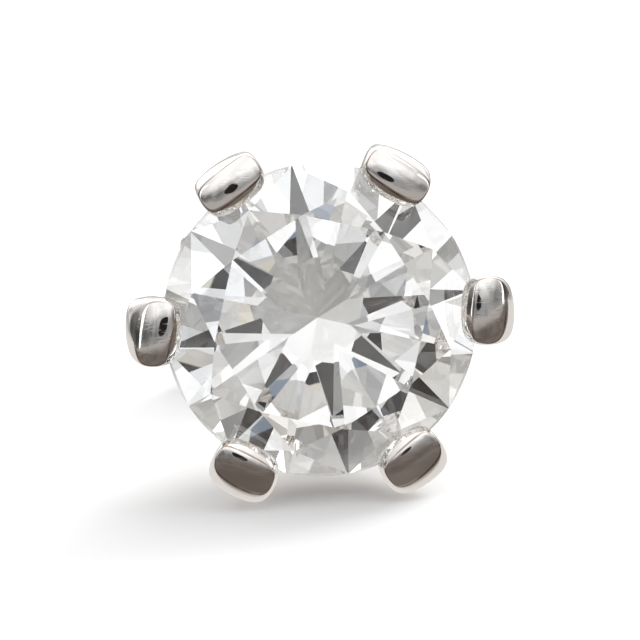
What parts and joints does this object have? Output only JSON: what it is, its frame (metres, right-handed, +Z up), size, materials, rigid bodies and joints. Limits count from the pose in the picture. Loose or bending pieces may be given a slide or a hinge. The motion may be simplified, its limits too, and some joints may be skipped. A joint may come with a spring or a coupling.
{
  "type": "stud earring",
  "caption": "Stud earring: a round clear faceted stone held by claws in an open basket, on a straight post with a butterfly back.",
  "frame": {"origin": "middle of the footprint, on the surface that the stud lies on", "axes": "+Z up; the post runs along +Y and the stone's table faces -Y, tilted up by about 8 degrees, as the stud rests on its two lower claws and the back's rolls"},
  "size_m": [0.0076, 0.0164, 0.0068],
  "materials": {
    "stone": "clear, polished facets",
    "silver": "polished"
  },
  "bodies": {
    "root": {"stone": "stone", "setting": "silver", "butterfly_back": "silver"}
  },
  "joints": []
}
